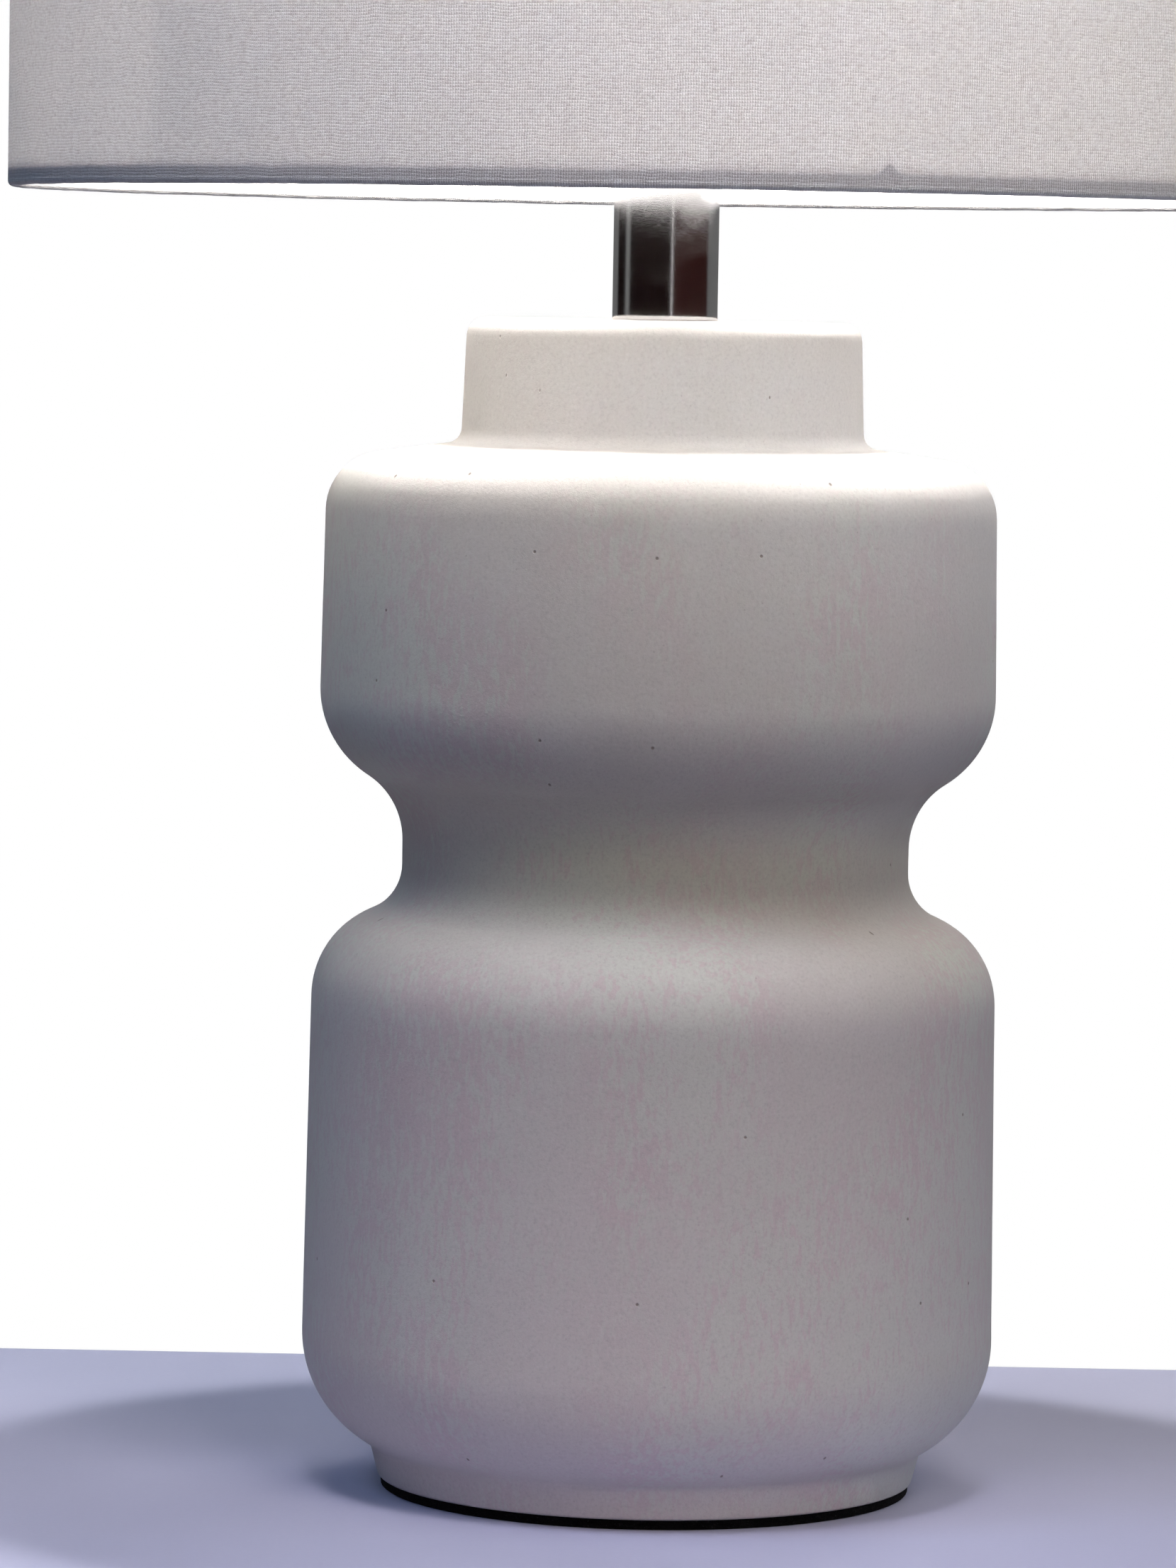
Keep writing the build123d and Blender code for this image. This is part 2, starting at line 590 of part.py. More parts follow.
with BuildPart() as shade_cover:
    with BuildSketch(Plane.XY.offset(SHADE_Z1 + 0.6)):
        Circle(SHADE_R - 0.4)
        Circle(SHADE_R - 1.0, mode=Mode.SUBTRACT)
    extrude(amount=SHADE_Z2 - SHADE_Z1 - 1.2)
shade_cover.part.label = "shade_cover"
export_step(shade_cover.part, "parts/shade_cover.step")

# the cloth turns under the bottom ring and a little way up inside
with BuildPart() as bottom_hem:
    with BuildSketch(Plane.XZ):
        with BuildLine():
            z = SHADE_Z1
            Polyline(
                (SHADE_R - 4.0, z), (SHADE_R, z), (SHADE_R, z + HEM_H), (SHADE_R - 0.4, z + HEM_H),
                (SHADE_R - 0.4, z + 0.6), (SHADE_R - 4.0, z + 0.6), (SHADE_R - 4.0, z + HEM_FLAP),
                (SHADE_R - 4.5, z + HEM_FLAP), (SHADE_R - 4.5, z), close=True,
            )
        make_face()
    revolve(axis=Axis.Z)
bottom_hem.part.label = "bottom_hem"
export_step(bottom_hem.part, "parts/bottom_hem.step")

with BuildPart() as top_hem:
    with BuildSketch(Plane.XZ):
        with BuildLine():
            z = SHADE_Z2
            Polyline(
                (SHADE_R - 4.0, z), (SHADE_R, z), (SHADE_R, z - HEM_H), (SHADE_R - 0.4, z - HEM_H),
                (SHADE_R - 0.4, z - 0.6), (SHADE_R - 4.0, z - 0.6), (SHADE_R - 4.0, z - HEM_FLAP),
                (SHADE_R - 4.5, z - HEM_FLAP), (SHADE_R - 4.5, z), close=True,
            )
        make_face()
    revolve(axis=Axis.Z)
    # notches where the spider's arms pass to the ring
    with BuildSketch(Plane.XY.offset(SHADE_Z2 - 12.0)):
        with PolarLocations(SHADE_R - 4.3, 3, start_angle=90):
            Rectangle(4.0, 5.0)
    extrude(amount=11.4, mode=Mode.SUBTRACT)
top_hem.part.label = "top_hem"
export_step(top_hem.part, "parts/top_hem.step")

with BuildPart() as bottom_ring:
    with BuildSketch(Plane.XZ):
        with Locations((RING_R, RING_Z1)):
            Circle(RING_WIRE_R)
    revolve(axis=Axis.Z)
bottom_ring.part.label = "bottom_ring"
export_step(bottom_ring.part, "parts/bottom_ring.step")

with BuildPart() as top_ring:
    with BuildSketch(Plane.XZ):
        with Locations((RING_R, RING_Z2)):
            Circle(RING_WIRE_R)
    revolve(axis=Axis.Z)
top_ring.part.label = "top_ring"
export_step(top_ring.part, "parts/top_ring.step")

# three cranked arms welded to the hub and to the top ring
with BuildPart() as spider_arm:
    with BuildLine(Plane.XZ) as crank:
        FilletPolyline(
            (12.0, (HUB_Z1 + HUB_Z2) / 2), (148.0, (HUB_Z1 + HUB_Z2) / 2), (RING_R - 0.3, RING_Z2), radius=12.0
        )
    with BuildSketch(Plane(origin=crank.line @ 0, x_dir=(0, 1, 0), z_dir=crank.line % 0)):
        Circle(ARM_R)
    sweep(path=crank.line)

with BuildPart() as spider:
    with BuildSketch(Plane.XY.offset(HUB_Z1)):
        Circle(14.0)
        Circle(4.2, mode=Mode.SUBTRACT)
    extrude(amount=HUB_Z2 - HUB_Z1)
    with PolarLocations(0, 3, start_angle=90):
        add(spider_arm.part)
spider.part.label = "spider"
export_step(spider.part, "parts/spider.step")
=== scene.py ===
import math

import bpy
from mathutils import Matrix, Vector, noise


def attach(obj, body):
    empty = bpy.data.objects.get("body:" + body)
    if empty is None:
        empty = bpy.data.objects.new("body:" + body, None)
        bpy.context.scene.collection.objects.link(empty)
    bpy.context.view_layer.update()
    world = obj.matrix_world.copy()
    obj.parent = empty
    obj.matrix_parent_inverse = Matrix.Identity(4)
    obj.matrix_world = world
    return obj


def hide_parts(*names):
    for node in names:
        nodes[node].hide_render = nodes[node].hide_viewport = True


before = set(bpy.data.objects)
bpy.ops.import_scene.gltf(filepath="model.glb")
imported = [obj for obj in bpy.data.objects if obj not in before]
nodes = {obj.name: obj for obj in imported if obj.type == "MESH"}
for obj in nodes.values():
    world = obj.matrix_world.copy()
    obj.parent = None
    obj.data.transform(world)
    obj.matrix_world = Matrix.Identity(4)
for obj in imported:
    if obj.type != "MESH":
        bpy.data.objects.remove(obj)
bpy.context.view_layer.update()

MM = 0.001
scene = bpy.context.scene
scene.view_settings.view_transform = "Standard"
scene.view_settings.look = "None"


# ------------------------------------------------------------------ shader helpers
class Tree:
    """A short way to write node trees: sockets or plain numbers go in, sockets come out."""

    def __init__(self, tree):
        self.t = tree
        self.t.nodes.clear()

    def node(self, kind, ins=None, **attrs):
        n = self.t.nodes.new(kind)
        for k, v in attrs.items():
            setattr(n, k, v)
        for k, v in (ins or {}).items():
            self.put(n.inputs[k], v)
        return n

    def put(self, socket, v):
        if isinstance(v, bpy.types.NodeSocket):
            self.t.links.new(v, socket)
        else:
            socket.default_value = v

    def math(self, op, a, b=None, c=None, clamp=False):
        n = self.node("ShaderNodeMath", operation=op, use_clamp=clamp)
        for i, v in enumerate((a, b, c)):
            if v is not None:
                self.put(n.inputs[i], v)
        return n.outputs[0]

    def add(self, a, b):
        return self.math("ADD", a, b)

    def sub(self, a, b):
        return self.math("SUBTRACT", a, b)

    def mul(self, a, b):
        return self.math("MULTIPLY", a, b)

    def ramp(self, x, lo, hi, a=0.0, b=1.0, smooth=True):
        n = self.node(
            "ShaderNodeMapRange",
            interpolation_type="SMOOTHSTEP" if smooth else "LINEAR",
        )
        for k, v in zip(("Value", "From Min", "From Max", "To Min", "To Max"), (x, lo, hi, a, b)):
            self.put(n.inputs[k], v)
        return n.outputs["Result"]

    def mix(self, fac, a, b, blend="MIX"):
        n = self.node("ShaderNodeMix", data_type="RGBA", blend_type=blend)
        self.put(n.inputs["Factor"], fac)
        for k, v in (("A", a), ("B", b)):
            s = [i for i in n.inputs if i.name == k and i.type == "RGBA"][0]
            self.put(s, v if isinstance(v, bpy.types.NodeSocket) else (*v, 1.0))
        return [o for o in n.outputs if o.type == "RGBA"][0]

    def coords(self):
        return self.node("ShaderNodeTexCoord").outputs["Object"]

    def xyz(self, vec):
        n = self.node("ShaderNodeSeparateXYZ", {"Vector": vec})
        return n.outputs[0], n.outputs[1], n.outputs[2]

    def vec(self, x, y, z):
        n = self.node("ShaderNodeCombineXYZ", {"X": x, "Y": y, "Z": z})
        return n.outputs[0]

    def scaled(self, vec, x, y, z):
        n = self.node("ShaderNodeVectorMath", {0: vec}, operation="MULTIPLY")
        n.inputs[1].default_value = (x, y, z)
        return n.outputs[0]

    def noise(self, vec, scale, detail=2.0, rough=0.5, lac=2.0):
        return self.node(
            "ShaderNodeTexNoise",
            {"Vector": vec, "Scale": scale, "Detail": detail, "Roughness": rough, "Lacunarity": lac},
        ).outputs["Fac"]

    def white(self, vec):
        return self.node("ShaderNodeTexWhiteNoise", {"Vector": vec}, noise_dimensions="3D").outputs["Value"]

    def bump(self, height, dist, strength=1.0, normal=None):
        n = self.node("ShaderNodeBump", {"Strength": strength, "Distance": dist, "Height": height})
        if normal is not None:
            self.put(n.inputs["Normal"], normal)
        return n.outputs["Normal"]

    def principled(self, **ins):
        n = self.node("ShaderNodeBsdfPrincipled")
        for k, v in ins.items():
            k = k.replace("_", " ")
            if isinstance(v, tuple) and len(v) == 3 and n.inputs[k].type == "RGBA":
                v = (*v, 1.0)
            self.put(n.inputs[k], v)
        return n.outputs["BSDF"]

    def out(self, shader):
        n = self.node("ShaderNodeOutputMaterial")
        self.put(n.inputs["Surface"], shader)


def material(name):
    m = bpy.data.materials.new(name)
    m.use_nodes = True
    return m, Tree(m.node_tree)


# ------------------------------------------------------------------ materials
def make_ceramic():
    m, t = material("ceramic_matte_white")
    p = t.coords()
    x, y, z = t.xyz(p)
    speck = t.noise(p, 1150.0, 3.0, 0.65)
    grit = t.noise(p, 3600.0, 1.0, 0.5)
    cloud = t.noise(t.scaled(p, 1.0, 1.0, 0.55), 22.0, 3.0, 0.55)
    cloud2 = t.noise(t.scaled(p, 1.0, 1.0, 0.3), 55.0, 2.0, 0.5)
    zone = t.noise(t.scaled(p, 1.3, 1.1, 0.8), 15.0, 2.0, 0.5)
    # the glaze ran a little: upright flames of a greener grey in a pinkish one, strong in places
    flame = t.noise(t.scaled(p, 1.0, 1.0, 0.32), 560.0, 4.0, 0.62)
    flame = t.add(flame, t.mul(t.sub(zone, 0.5), 0.60))
    body = t.mix(t.ramp(flame, 0.43, 0.58), (0.506, 0.436, 0.440), (0.506, 0.506, 0.472))
    body = t.mix(t.ramp(cloud, 0.40, 0.58, 0.85, 0.0), body, (0.506, 0.478, 0.462))
    # the collar and the shoulder under it took the glaze evenly
    body = t.mix(t.ramp(z, 0.245, 0.283, 0.0, 0.85), body, (0.506, 0.478, 0.462))
    body = t.mix(t.ramp(cloud2, 0.45, 0.75, 0.0, 0.18), body, (0.536, 0.515, 0.508))
    body = t.mix(t.ramp(speck, 0.30, 0.52, 0.42, 0.0), body, (0.386, 0.360, 0.358))
    body = t.mix(t.ramp(speck, 0.54, 0.72, 0.0, 0.40), body, (0.592, 0.570, 0.560))
    # the colour is scaled by height, in part glaze tone and in part painted light and shade: lighter at the foot, on
    # the lower bulge's top and on the upper bulge, darker on the lower body, darkest in the waist, a little less at the
    # shoulder
    coat = t.ramp(z, 0.018, 0.045, 1.06, 0.91)
    coat = t.add(coat, t.ramp(z, 0.122, 0.150, 0.0, 0.23))
    coat = t.add(coat, t.ramp(z, 0.152, 0.168, 0.0, -0.24))
    coat = t.add(coat, t.ramp(z, 0.180, 0.191, 0.0, -0.09))
    coat = t.add(coat, t.ramp(z, 0.197, 0.213, 0.0, 0.19))
    coat = t.add(coat, t.ramp(z, 0.215, 0.262, 0.0, 0.10))
    coat = t.add(coat, t.ramp(z, 0.272, 0.284, 0.0, -0.06))
    body = t.mix(1.0, body, coat, "MULTIPLY")
    warm = t.mul(t.ramp(z, 0.150, 0.172), t.ramp(z, 0.190, 0.214, 1.0, 0.0))
    body = t.mix(warm, body, t.mix(1.0, body, (1.0, 0.985, 0.90), "MULTIPLY"))
    # a few pinholes and dark grains in the glaze
    skin = t.vec(t.mul(t.math("ARCTAN2", x, t.mul(y, -1.0)), 0.085), z, 0.0)
    cell = t.node("ShaderNodeTexVoronoi", {"Vector": skin, "Scale": 40.0, "Randomness": 1.0}, voronoi_dimensions="2D")
    pin = t.mul(
        t.ramp(cell.outputs["Distance"], 0.008, 0.022, 1.0, 0.0),
        t.ramp(t.xyz(cell.outputs["Color"])[0], 0.70, 0.72),
    )
    body = t.mix(t.mul(pin, 0.75), body, (0.16, 0.12, 0.10))
    cell2 = t.node("ShaderNodeTexVoronoi", {"Vector": skin, "Scale": 95.0, "Randomness": 1.0}, voronoi_dimensions="2D")
    pin2 = t.mul(
        t.ramp(cell2.outputs["Distance"], 0.012, 0.030, 1.0, 0.0),
        t.ramp(t.xyz(cell2.outputs["Color"])[1], 0.60, 0.62),
    )
    body = t.mix(t.mul(pin2, 0.40), body, (0.30, 0.26, 0.25))
    # painted shade in the crease over the foot and at the step of the collar
    crease_shade = t.math("MULTIPLY", t.ramp(t.math("ABSOLUTE", t.sub(z, 0.0122)), 0.0, 0.004, 1.0, 0.0), t.ramp(cloud2, 0.3, 0.7, 0.15, 0.5))
    step = t.math("MULTIPLY", t.ramp(t.math("ABSOLUTE", t.sub(z, 0.2805)), 0.0, 0.003, 1.0, 0.0), t.ramp(cloud2, 0.3, 0.7, 0.10, 0.35))
    body = t.mix(t.math("ADD", crease_shade, step, clamp=True), body, (0.48, 0.45, 0.43))
    height = t.add(t.mul(speck, 0.55), t.mul(grit, 0.25))
    height = t.sub(height, t.mul(pin, 2.0))
    normal = t.bump(t.noise(p, 150.0, 2.0), 0.0006, 0.25)
    normal = t.bump(height, 0.00022, 0.55, normal)
    t.out(
        t.principled(
            Base_Color=body,
            Roughness=t.ramp(speck, 0.3, 0.7, 0.52, 0.68),
            Specular_IOR_Level=0.32,
            Normal=normal,
        )
    )
    return m


def make_felt():
    m, t = material("felt_black")
    p = t.coords()
    fib = t.noise(t.scaled(p, 1.0, 1.0, 2.2), 900.0, 4.0, 0.7)
    lump = t.noise(p, 160.0, 3.0, 0.6)
    col = t.mix(t.ramp(fib, 0.35, 0.72), (0.0012, 0.0012, 0.0014), (0.0060, 0.0058, 0.0064))
    col = t.mix(t.ramp(lump, 0.45, 0.8, 0.0, 0.4), col, (0.0095, 0.0090, 0.0098))
    lint = t.noise(t.scaled(p, 1.0, 0.6, 1.0), 1700.0, 2.0, 0.7)
    col = t.mix(t.ramp(lint, 0.62, 0.72, 0.0, 0.55), col, (0.052, 0.050, 0.055))
    t.out(
        t.principled(
            Base_Color=col,
            Roughness=t.ramp(fib, 0.3, 0.7, 0.88, 1.0),
            Specular_IOR_Level=0.04,
            Sheen_Weight=0.02,
            Sheen_Roughness=0.5,
            Normal=t.bump(t.add(fib, t.mul(lump, 0.6)), 0.0006, 0.8),
        )
    )
    return m


def make_metal(name, colour, dark, rough, lines=(1.0, 1.0, 1.0), scale=900.0, bump=0.10, aniso=0.0, blotch=0.25):
    """Plated or turned metal: fine polishing lines, a little haze in patches and faint handling marks."""
    m, t = material(name)
    p = t.coords()
    line = t.noise(t.scaled(p, *lines), scale, 3.0, 0.65)
    haze = t.noise(p, 75.0, 3.0, 0.6)
    marks = t.noise(t.scaled(p, 2.0, 2.0, 0.5), 420.0, 2.0, 0.8)
    col = t.mix(t.ramp(haze, 0.38, 0.72, 0.0, blotch), colour, dark)
    col = t.mix(t.ramp(line, 0.55, 0.80, 0.0, 0.22), col, dark)
    r = t.add(t.ramp(line, 0.3, 0.7, rough * 0.82, rough * 1.22), t.ramp(haze, 0.45, 0.75, 0.0, rough * 0.6))
    r = t.add(r, t.ramp(marks, 0.66, 0.78, 0.0, rough * 0.8))
    ins = dict(
        Base_Color=col,
        Metallic=1.0,
        Roughness=r,
        Normal=t.bump(line, 0.00004, bump),
    )
    if aniso:
        ins["Anisotropic"] = aniso
        ins["Tangent"] = t.node("ShaderNodeTangent", direction_type="RADIAL", axis="Z").outputs[0]
    t.out(t.principled(**ins))
    return m


def make_plain(name, lo, hi, rough, scale=600.0, detail=3.0, bump=0.3, dist=0.0002, spec=0.4, coat=0.0, fleck=None):
    """Moulded, pressed or fibrous stuff: a grain at its own scale, cloudy colour and worn, duller patches."""
    m, t = material(name)
    p = t.coords()
    grain = t.noise(p, scale, detail, 0.6)
    cloud = t.noise(p, 60.0, 3.0, 0.55)
    col = t.mix(t.ramp(t.add(t.mul(grain, 0.6), t.mul(cloud, 0.4)), 0.36, 0.64), lo, hi)
    if fleck:
        col = t.mix(t.ramp(t.noise(t.scaled(p, 1.0, 1.0, 0.25), scale * 1.7, 2.0), 0.60, 0.70, 0.0, 0.6), col, fleck)
    t.out(
        t.principled(
            Base_Color=col,
            Roughness=t.add(t.ramp(grain, 0.3, 0.7, rough * 0.88, rough * 1.1), t.ramp(cloud, 0.5, 0.8, 0.0, 0.08)),
            Specular_IOR_Level=spec,
            Coat_Weight=coat,
            Coat_Roughness=0.12,
            Normal=t.bump(grain, dist, bump),
        )
    )
    return m


def make_glass_dark():
    m, t = material("black_glass")
    p = t.coords()
    swirl = t.noise(p, 240.0, 3.0, 0.6)
    col = t.mix(t.ramp(swirl, 0.4, 0.7), (0.008, 0.008, 0.010), (0.030, 0.028, 0.034))
    t.out(
        t.principled(
            Base_Color=col,
            Roughness=t.ramp(swirl, 0.3, 0.7, 0.08, 0.20),
            Specular_IOR_Level=0.5,
            Normal=t.bump(swirl, 0.0003, 0.2),
        )
    )
    return m


def make_glass_clear():
    m, t = material("clear_glass")
    p = t.coords()
    cord = t.noise(t.scaled(p, 1.0, 1.0, 0.2), 300.0, 2.0, 0.5)
    col = t.mix(t.ramp(cord, 0.4, 0.7), (0.93, 0.96, 0.95), (0.86, 0.90, 0.90))
    t.out(
        t.principled(
            Base_Color=col,
            Roughness=t.ramp(cord, 0.3, 0.7, 0.03, 0.10),
            IOR=1.5,
            Transmission_Weight=0.9,
            Normal=t.bump(cord, 0.0003, 0.15),
        )
    )
    return m


def make_opal():
    m, t = material("opal_glass_lit")
    p = t.coords()
    x, y, z = t.xyz(p)
    cloud = t.noise(p, 55.0, 3.0, 0.55)
    # the globe glows evenly and fades into the neck over the cap
    fade = t.ramp(z, 0.441, 0.470, 0.18, 1.0)
    col = t.mix(t.ramp(cloud, 0.35, 0.7), (0.93, 0.91, 0.86), (0.96, 0.95, 0.92))
    warm = t.mix(fade, (1.0, 0.76, 0.52), (1.0, 0.955, 0.895))
    t.out(
        t.principled(
            Base_Color=col,
            Roughness=t.ramp(cloud, 0.3, 0.7, 0.16, 0.26),
            Specular_IOR_Level=0.5,
            Emission_Color=warm,
            Emission_Strength=t.mul(fade, BULB_GLOW),
            Normal=t.bump(cloud, 0.0004, 0.1),
        )
    )
    return m


def make_filament():
    m, t = material("filament_coat")
    p = t.coords()
    g = t.noise(p, 1500.0, 3.0, 0.6)
    col = t.mix(t.ramp(g, 0.35, 0.7), (0.86, 0.60, 0.16), (0.96, 0.80, 0.36))
    t.out(
        t.principled(
            Base_Color=col,
            Roughness=t.ramp(g, 0.3, 0.7, 0.45, 0.65),
            Emission_Color=(1.0, 0.80, 0.48),
            Emission_Strength=6.0,
            Normal=t.bump(g, 0.0002, 0.4),
        )
    )
    return m


def weave(t, p):
    """Plain weave on a drum: threads up and round, each a little uneven. Gives (height, cover, slub, dot, line, q).

    height is the thread relief, cover how much yarn stands in the light's way, slub the thick and thin
    runs of single threads, dot a random tone for each crossing, line a random tone for each thread and
    q the place on the unrolled cloth."""
    x, y, z = t.xyz(p)
    a = t.math("ARCTAN2", y, x)
    u = t.mul(a, 0.1746 / 0.00065)
    v = t.mul(z, 1.0 / 0.00078)
    q = t.vec(t.mul(a, 0.1746), 0.0, z)
    u = t.add(u, t.mul(t.sub(t.noise(t.scaled(q, 0.35, 1.0, 1.0), 130.0, 2.0, 0.6), 0.5), 1.5))
    v = t.add(v, t.mul(t.sub(t.noise(t.scaled(q, 1.0, 1.0, 0.5), 110.0, 2.0, 0.6), 0.5), 1.9))
    iu, iv = t.math("FLOOR", u), t.math("FLOOR", v)
    fu, fv = t.sub(u, iu), t.sub(v, iv)
    ru = t.white(t.vec(iu, 3.0, 0.0))
    rv = t.white(t.vec(7.0, iv, 1.0))
    dot = t.white(t.vec(iu, iv, 5.0))
    # thick and thin runs along each thread, a few millimetres long
    su = t.noise(t.vec(t.mul(iu, 3.7), t.mul(z, 330.0), 4.0), 1.0, 2.0, 0.6)
    sv = t.noise(t.vec(t.mul(a, 0.1746 * 210.0), t.mul(iv, 3.1), 9.0), 1.0, 2.0, 0.6)
    wu = t.add(t.mul(su, 0.50), t.add(t.mul(ru, 0.05), 0.22))
    wv = t.add(t.mul(sv, 0.60), t.add(t.mul(rv, 0.08), 0.18))
    du = t.math("ABSOLUTE", t.sub(t.mul(fu, 2.0), 1.0))
    dv = t.math("ABSOLUTE", t.sub(t.mul(fv, 2.0), 1.0))
    tu = t.ramp(t.sub(du, wu), 0.05, 0.55, 1.0, 0.0)
    tv = t.ramp(t.sub(dv, wv), 0.05, 0.55, 1.0, 0.0)
    par = t.math("PINGPONG", t.add(iu, iv), 1.0)
    bow_u = t.mul(t.math("SINE", t.mul(fv, math.pi)), tu)
    bow_v = t.mul(t.math("SINE", t.mul(fu, math.pi)), tv)
    over_u = t.add(t.mul(bow_u, par), t.mul(tu, 0.35))
    over_v = t.add(t.mul(bow_v, t.sub(1.0, par)), t.mul(tv, 0.35))
    height = t.math("MAXIMUM", over_u, over_v)
    cover = t.mul(t.add(tu, tv), 0.5)
    slub = t.add(t.mul(t.sub(su, 0.5), tu), t.mul(t.sub(sv, 0.5), tv))
    line = t.add(t.mul(t.sub(ru, 0.5), tu), t.mul(t.sub(rv, 0.5), tv))
    return height, cover, slub, dot, line, q


def make_cloth(name, through):
    """Shade cloth. through: the share of the light that comes from behind, with 0 for the folded hems."""
    m, t = material(name)
    p = t.coords()
    # the folded hems are the same cloth painted darker, as painted shade
    k = 1.0 if through else 0.75
    height, cover, slub, dot, line, q = weave(t, p)
    tone = t.noise(q, 26.0, 3.0, 0.55)
    mottle = t.noise(t.scaled(q, 0.42, 1.0, 1.0), 1080.0, 2.0, 0.62)
    fuzz = t.noise(p, 2600.0, 2.0, 0.6)
    front = t.mix(t.ramp(tone, 0.36, 0.66), (0.945 * k, 0.925 * k, 0.910 * k), (0.925 * k, 0.912 * k, 0.905 * k))
    # painted shade in the hollows between the threads
    front = t.mix(t.ramp(height, 0.15, 0.85, 0.40, 0.0), front, (0.64 * k, 0.60 * k, 0.605 * k))
    front = t.mix(t.ramp(line, 0.0, 0.5, 0.0, 0.06), front, (0.56, 0.52, 0.515))
    front = t.mix(t.ramp(mottle, 0.32, 0.52, 0.40, 0.0), front, (0.60 * k, 0.540 * k, 0.530 * k))
    front = t.mix(t.ramp(dot, 0.0, 1.0, 0.34, 0.0, smooth=False), front, (0.64 * k, 0.595 * k, 0.590 * k))
    front = t.mix(t.ramp(slub, 0.04, 0.24, 0.0, 0.26), front, (0.97 * k, 0.955 * k, 0.96 * k))
    front = t.mix(t.ramp(fuzz, 0.56, 0.75, 0.0, 0.18), front, (0.96 * k, 0.95 * k, 0.95 * k))
    # the glued turn of the hem keeps the light back, with a soft reddish edge, above and below
    x, y, z = t.xyz(p)
    wave = t.mul(t.sub(t.noise(t.scaled(q, 1.0, 1.0, 0.0), 60.0, 2.0, 0.6), 0.5), 0.0014)
    d = t.mul(t.sub(t.math("ARCTAN2", y, x), FLAW), 0.1746 / 0.0021)
    tag = t.math("EXPONENT", t.mul(t.mul(d, d), -1.0))
    rise = t.math("MINIMUM", t.sub(t.sub(z, 0.3449), t.mul(tag, 0.0027)), t.sub(0.5649, z))
    rise = t.add(rise, wave)
    # painted shade: on the drum the face colour is darkened over the band of the hem's turn, the tag included
    if through:
        front = t.mix(t.ramp(rise, 0.0038, 0.0050, 0.90, 0.0), front, t.mix(1.0, front, (0.745, 0.735, 0.750), "MULTIPLY"))
    normal = t.bump(t.add(height, t.mul(fuzz, 0.12)), 0.00016, 0.75)
    face = t.principled(
        Base_Color=front,
        Roughness=t.ramp(height, 0.1, 0.9, 0.95, 0.82),
        Specular_IOR_Level=0.15,
        Sheen_Weight=0.06,
        Sheen_Roughness=0.45,
        Normal=normal,
    )
    if through:
        back = t.mix(t.ramp(cover, 0.10, 0.85), (0.985, 0.940, 0.920), (0.765, 0.712, 0.688))
        back = t.mix(t.ramp(line, -0.1, 0.45, 0.0, 0.05), back, (0.47, 0.43, 0.425))
        back = t.mix(t.ramp(slub, 0.02, 0.26, 0.0, 0.55), back, (0.46, 0.41, 0.40))
        back = t.mix(t.ramp(dot, 0.0, 1.0, 0.42, 0.0, smooth=False), back, (0.46, 0.40, 0.39))
        back = t.mix(t.ramp(mottle, 0.32, 0.52, 0.56, 0.0), back, (0.44, 0.370, 0.355))
        back = t.mix(t.ramp(tone, 0.4, 0.7, 0.0, 0.10), back, (0.62, 0.585, 0.575))
        back = t.mix(t.ramp(rise, 0.0046, 0.0064, 0.40, 0.0), back, (0.46, 0.30, 0.28))
        back = t.mix(t.ramp(rise, 0.0038, 0.0050, 0.93, 0.0), back, (0.08, 0.06, 0.06))
        glow = t.node("ShaderNodeBsdfTranslucent", {"Color": back, "Normal": normal}).outputs[0]
        mix = t.node("ShaderNodeMixShader")
        mix.inputs[0].default_value = through
        t.put(mix.inputs[1], face)
        t.put(mix.inputs[2], glow)
        t.out(mix.outputs[0])
    else:
        t.out(face)
    return m


def make_sheet():
    """The white plastic backing inside the shade, which passes a soft, even light."""
    m, t = material("shade_backing")
    p = t.coords()
    x, y, z = t.xyz(p)
    q = t.vec(t.mul(t.math("ARCTAN2", y, x), 0.174), 0.0, z)
    cloud = t.noise(q, 30.0, 3.0, 0.5)
    fine = t.noise(q, 1400.0, 2.0, 0.6)
    face_col = t.mix(t.ramp(cloud, 0.35, 0.7), (0.925, 0.92, 0.910), (0.900, 0.895, 0.885))
    face_col = t.mix(t.ramp(fine, 0.5, 0.8, 0.0, 0.15), face_col, (0.86, 0.855, 0.845))
    glow_col = t.mix(t.ramp(cloud, 0.35, 0.7), (0.96, 0.952, 0.945), (0.92, 0.913, 0.905))
    normal = t.bump(t.add(fine, t.mul(cloud, 0.5)), 0.00012, 0.35)
    face = t.principled(
        Base_Color=face_col,
        Roughness=t.ramp(fine, 0.3, 0.7, 0.42, 0.55),
        Specular_IOR_Level=0.35,
        Normal=normal,
    )
    glow = t.node("ShaderNodeBsdfTranslucent", {"Color": glow_col, "Normal": normal}).outputs[0]
    mix = t.node("ShaderNodeMixShader")
    mix.inputs[0].default_value = 0.36
    t.put(mix.inputs[1], face)
    t.put(mix.inputs[2], glow)
    t.out(mix.outputs[0])
    return m


def make_floor():
    m, t = material("stage_floor")
    p = t.coords()
    n1 = t.noise(p, 9.0, 3.0, 0.5)
    n2 = t.noise(p, 700.0, 2.0, 0.5)
    col = t.mix(t.ramp(n1, 0.35, 0.65), (0.488, 0.498, 0.672), (0.503, 0.513, 0.692))
    t.out(
        t.principled(
            Base_Color=col,
            Roughness=t.ramp(n2, 0.3, 0.7, 0.62, 0.72),
            Specular_IOR_Level=0.25,
            Normal=t.bump(n2, 0.0002, 0.05),
        )
    )
    return m


BULB_GLOW = 14.0
FLAW = math.radians(-90 + 18.0)  # where a tag of the hem's turn stands up

